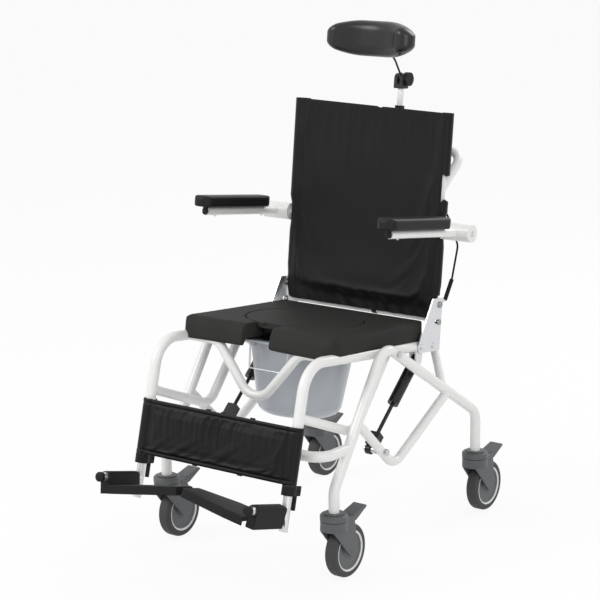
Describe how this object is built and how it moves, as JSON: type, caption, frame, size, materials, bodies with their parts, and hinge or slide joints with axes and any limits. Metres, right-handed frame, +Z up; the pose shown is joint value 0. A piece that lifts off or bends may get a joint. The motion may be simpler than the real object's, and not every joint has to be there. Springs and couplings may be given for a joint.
{
  "type": "shower commode chair",
  "caption": "Tilting shower commode chair on braked castors, white tube frame, black seat, back sling, headrest, armrests and calf pad, grey pan.",
  "frame": {"origin": "on the floor below the middle of the bounding box", "axes": "+X towards the sitter's left, +Y to the rear, +Z up; the front faces -Y"},
  "size_m": [0.608, 0.985, 1.2144],
  "materials": {
    "white": "gloss white powder coat",
    "steel": "satin",
    "plate": "satin silver",
    "castor": "moulded grey",
    "hub": "moulded grey with a light ring",
    "tyre": "smooth tread",
    "foam": "fine grain black skin",
    "plastic": "black, fine grain",
    "vinyl": "coated black cloth",
    "pan": "smooth grey",
    "strut": "satin black"
  },
  "bodies": {
    "base": {"base_side_l": "white", "base_side_r": "white", "base_bow": "white", "pivot_bolts": "steel", "spring_studs": "steel", "castor_tops": "castor"},
    "seat": {"seat_frame_l": "white", "seat_frame_r": "white", "front_dip": "white", "hinge_plate_l": "plate", "hinge_plate_r": "plate", "seat_pad": "foam", "pan_rails": "plastic", "calf_pad": "vinyl", "foot_clamps": "plastic"},
    "castor_fl": {"fork_fl": "castor"},
    "wheel_fl": {"hub_fl": "hub", "tyre_fl": "tyre"},
    "brake_fl": {"pedal_fl": "castor"},
    "castor_fr": {"fork_fr": "castor"},
    "wheel_fr": {"hub_fr": "hub", "tyre_fr": "tyre"},
    "brake_fr": {"pedal_fr": "castor"},
    "castor_rl": {"fork_rl": "castor"},
    "wheel_rl": {"hub_rl": "hub", "tyre_rl": "tyre"},
    "brake_rl": {"pedal_rl": "castor"},
    "castor_rr": {"fork_rr": "castor"},
    "wheel_rr": {"hub_rr": "hub", "tyre_rr": "tyre"},
    "brake_rr": {"pedal_rr": "castor"},
    "lid": {"seat_lid": "foam"},
    "pan": {"pan": "pan"},
    "bail": {"pan_bail": "steel"},
    "rod_l": {"spring_rod_l": "steel"},
    "strut_l": {"spring_body_l": "strut"},
    "rod_r": {"spring_rod_r": "steel"},
    "strut_r": {"spring_body_r": "strut"},
    "back": {"back_frame": "white", "push_bar": "white", "back_sling": "vinyl", "back_bolts": "steel", "cables": "plastic", "head_holder": "plastic"},
    "release_l": {"release_lever_l": "plastic"},
    "arm_l": {"arm_l": "white", "arm_pad_l": "foam"},
    "release_r": {"release_lever_r": "plastic"},
    "arm_r": {"arm_r": "white", "arm_pad_r": "foam"},
    "head_post": {"head_bar": "plate"},
    "headrest": {"head_pad": "foam"},
    "head_knob": {"head_knob": "castor"},
    "leg_l": {"leg_l": "plate"},
    "plate_l": {"footplate_l": "plastic"},
    "clamp_l": {"clamp_lever_l": "plastic"},
    "leg_r": {"leg_r": "plate"},
    "plate_r": {"footplate_r": "plastic"},
    "clamp_r": {"clamp_lever_r": "plastic"}
  },
  "joints": [
    {"name": "swivel_fl", "type": "hinge", "parent": "base", "child": "castor_fl", "pos_m": [0.245, -0.2175, 0.14], "axis": [0, 0, 1], "continuous": true},
    {"name": "roll_fl", "type": "hinge", "parent": "castor_fl", "child": "wheel_fl", "pos_m": [0.245, -0.1735, 0.0625], "axis": [1, 0, 0], "continuous": true},
    {"name": "brake_fl", "type": "hinge", "parent": "castor_fl", "child": "brake_fl", "pos_m": [0.245, -0.1725, 0.136], "axis": [-1, 0, 0], "range_deg": [0, 10]},
    {"name": "swivel_fr", "type": "hinge", "parent": "base", "child": "castor_fr", "pos_m": [-0.245, -0.2175, 0.14], "axis": [0, 0, 1], "continuous": true},
    {"name": "roll_fr", "type": "hinge", "parent": "castor_fr", "child": "wheel_fr", "pos_m": [-0.245, -0.1735, 0.0625], "axis": [1, 0, 0], "continuous": true},
    {"name": "brake_fr", "type": "hinge", "parent": "castor_fr", "child": "brake_fr", "pos_m": [-0.245, -0.1725, 0.136], "axis": [-1, 0, 0], "range_deg": [0, 10]},
    {"name": "swivel_rl", "type": "hinge", "parent": "base", "child": "castor_rl", "pos_m": [0.245, 0.3845, 0.14], "axis": [0, 0, 1], "continuous": true},
    {"name": "roll_rl", "type": "hinge", "parent": "castor_rl", "child": "wheel_rl", "pos_m": [0.245, 0.4285, 0.0625], "axis": [1, 0, 0], "continuous": true},
    {"name": "brake_rl", "type": "hinge", "parent": "castor_rl", "child": "brake_rl", "pos_m": [0.245, 0.4295, 0.136], "axis": [-1, 0, 0], "range_deg": [0, 10]},
    {"name": "swivel_rr", "type": "hinge", "parent": "base", "child": "castor_rr", "pos_m": [-0.245, 0.3845, 0.14], "axis": [0, 0, 1], "continuous": true},
    {"name": "roll_rr", "type": "hinge", "parent": "castor_rr", "child": "wheel_rr", "pos_m": [-0.245, 0.4285, 0.0625], "axis": [1, 0, 0], "continuous": true},
    {"name": "brake_rr", "type": "hinge", "parent": "castor_rr", "child": "brake_rr", "pos_m": [-0.245, 0.4295, 0.136], "axis": [-1, 0, 0], "range_deg": [0, 10]},
    {"name": "tilt", "type": "hinge", "parent": "base", "child": "seat", "pos_m": [0, 0.0225, 0.481], "axis": [-1, 0, 0], "range_deg": [0, 25]},
    {"name": "lid_lift", "type": "slide", "parent": "seat", "child": "lid", "axis": [0, 0.1045, 0.9945], "range_m": [0, 0.12]},
    {"name": "pan_slide", "type": "slide", "parent": "seat", "child": "pan", "axis": [0, 0.9945, -0.1045], "range_m": [0, 0.3]},
    {"name": "bail_swing", "type": "hinge", "parent": "pan", "child": "bail", "pos_m": [0, -0.13076, 0.4961], "axis": [-1, 0, 0], "range_deg": [0, 80]},
    {"name": "rod_swing_l", "type": "hinge", "parent": "base", "child": "rod_l", "pos_m": [0.212, -0.02879, 0.25963], "axis": [-1, 0, 0], "range_deg": [0, 6.1]},
    {"name": "strut_l", "type": "slide", "parent": "rod_l", "child": "strut_l", "axis": [0, 0.7349, 0.6782], "range_m": [-0.0598, 0]},
    {"name": "rod_swing_r", "type": "hinge", "parent": "base", "child": "rod_r", "pos_m": [-0.212, -0.02879, 0.25963], "axis": [-1, 0, 0], "range_deg": [0, 6.1]},
    {"name": "strut_r", "type": "slide", "parent": "rod_r", "child": "strut_r", "axis": [0, 0.7349, 0.6782], "range_m": [-0.0598, 0]},
    {"name": "recline", "type": "hinge", "parent": "seat", "child": "back", "pos_m": [0, 0.24248, 0.55541], "axis": [-1, 0, 0], "range_deg": [0, 20]},
    {"name": "release_l", "type": "hinge", "parent": "back", "child": "release_l", "pos_m": [0.118, 0.37569, 0.9044], "axis": [1, 0, 0], "range_deg": [0, 15]},
    {"name": "arm_l", "type": "hinge", "parent": "back", "child": "arm_l", "pos_m": [0.265, 0.26109, 0.73244], "axis": [-1, 0, 0], "range_deg": [0, 100]},
    {"name": "release_r", "type": "hinge", "parent": "back", "child": "release_r", "pos_m": [-0.118, 0.37569, 0.9044], "axis": [1, 0, 0], "range_deg": [0, 15]},
    {"name": "arm_r", "type": "hinge", "parent": "back", "child": "arm_r", "pos_m": [-0.265, 0.26109, 0.73244], "axis": [-1, 0, 0], "range_deg": [0, 100]},
    {"name": "head_height", "type": "slide", "parent": "back", "child": "head_post", "axis": [0, 0.1045, 0.9945], "range_m": [-0.04, 0.1]},
    {"name": "head_tip", "type": "hinge", "parent": "head_post", "child": "headrest", "pos_m": [0, 0.41273, 1.06541], "axis": [-1, 0, 0], "range_deg": [-25, 25]},
    {"name": "knob", "type": "hinge", "parent": "head_post", "child": "head_knob", "pos_m": [0, 0.41273, 1.06541], "axis": [1, 0, 0], "continuous": true},
    {"name": "leg_l", "type": "slide", "parent": "seat", "child": "leg_l", "axis": [0, -0.2419, -0.9703], "range_m": [0, 0.08]},
    {"name": "plate_l", "type": "hinge", "parent": "leg_l", "child": "plate_l", "pos_m": [0.212, -0.42117, 0.21481], "axis": [0, 0.9703, -0.2419], "range_deg": [0, 83]},
    {"name": "clamp_l", "type": "hinge", "parent": "seat", "child": "clamp_l", "pos_m": [0.212, -0.31883, 0.23464], "axis": [1, 0, 0], "range_deg": [0, 80]},
    {"name": "leg_r", "type": "slide", "parent": "seat", "child": "leg_r", "axis": [0, -0.2419, -0.9703], "range_m": [0, 0.08]},
    {"name": "plate_r", "type": "hinge", "parent": "leg_r", "child": "plate_r", "pos_m": [-0.212, -0.42117, 0.21481], "axis": [0, -0.9703, 0.2419], "range_deg": [0, 83]},
    {"name": "clamp_r", "type": "hinge", "parent": "seat", "child": "clamp_r", "pos_m": [-0.212, -0.31883, 0.23464], "axis": [1, 0, 0], "range_deg": [0, 80]}
  ],
  "couplings": [
    {"joint": "rod_swing_l", "follows": "tilt", "ratio": 0.222},
    {"joint": "strut_l", "follows": "tilt", "m_per_rad": -0.136},
    {"joint": "rod_swing_r", "follows": "tilt", "ratio": 0.222},
    {"joint": "strut_r", "follows": "tilt", "m_per_rad": -0.136}
  ]
}
